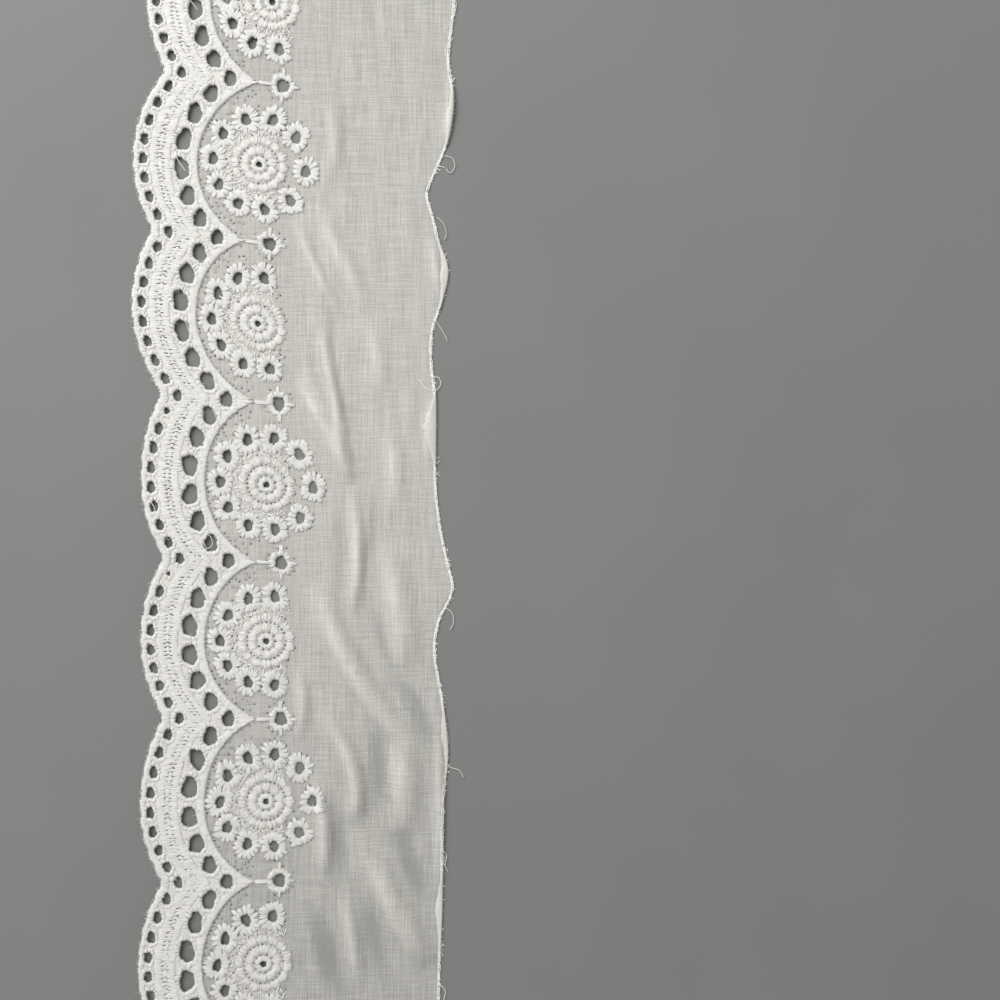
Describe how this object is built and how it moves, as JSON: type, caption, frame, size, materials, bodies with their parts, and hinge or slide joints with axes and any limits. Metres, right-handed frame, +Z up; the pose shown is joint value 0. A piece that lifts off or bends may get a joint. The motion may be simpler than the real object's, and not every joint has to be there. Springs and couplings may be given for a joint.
{
  "type": "broderie anglaise lace trim",
  "caption": "Cut length of white cotton eyelet edging: scalloped satin stitched edge, rows of open eyelets, worked flowers, and a plain margin with a raw edge, lying flat with soft folds.",
  "frame": {"origin": "on the surface that the strip lies on, under the middle of its box", "axes": "+Z up from the surface, +Y along the strip, -X towards the scalloped edge and +X towards the raw edge"},
  "size_m": [0.1094, 0.3856, 0.0042],
  "materials": {
    "white_cotton": "white cotton, matt plain woven lawn with raised satin stitching"
  },
  "bodies": {
    "root": {"lace_trim": "white_cotton"}
  },
  "joints": []
}
